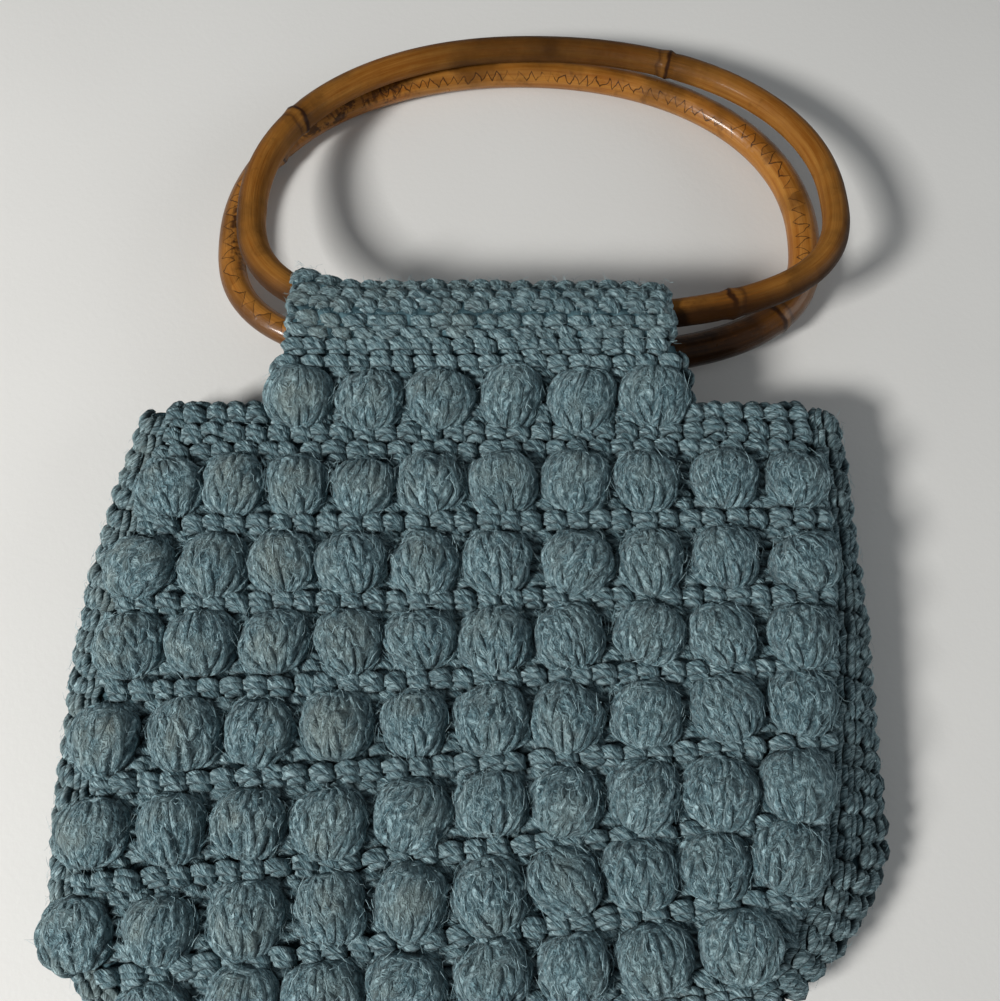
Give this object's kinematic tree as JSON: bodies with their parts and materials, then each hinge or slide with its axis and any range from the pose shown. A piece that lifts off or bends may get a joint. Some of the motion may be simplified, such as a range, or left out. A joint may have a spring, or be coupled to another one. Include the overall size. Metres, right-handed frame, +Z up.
{
  "type": "crochet handbag",
  "caption": "Crocheted wool handbag with rows of bobbles, lying flat, with two oval bamboo handles held in sleeves at its neck.",
  "frame": {"origin": "centre of the bounding box, at the surface that the bag lies on", "axes": "+Y from the bottom of the bag to its handles, +Z up from the surface that it lies on, +X to the right seen from above"},
  "size_m": [0.244, 0.3392, 0.0409],
  "materials": {
    "wool": "matte",
    "bamboo": "gloss"
  },
  "bodies": {
    "root": {"front_panel": "wool", "back_panel": "wool", "side_strip": "wool", "front_sleeve": "wool", "back_sleeve": "wool", "front_handle": "bamboo", "back_handle": "bamboo"}
  },
  "joints": []
}
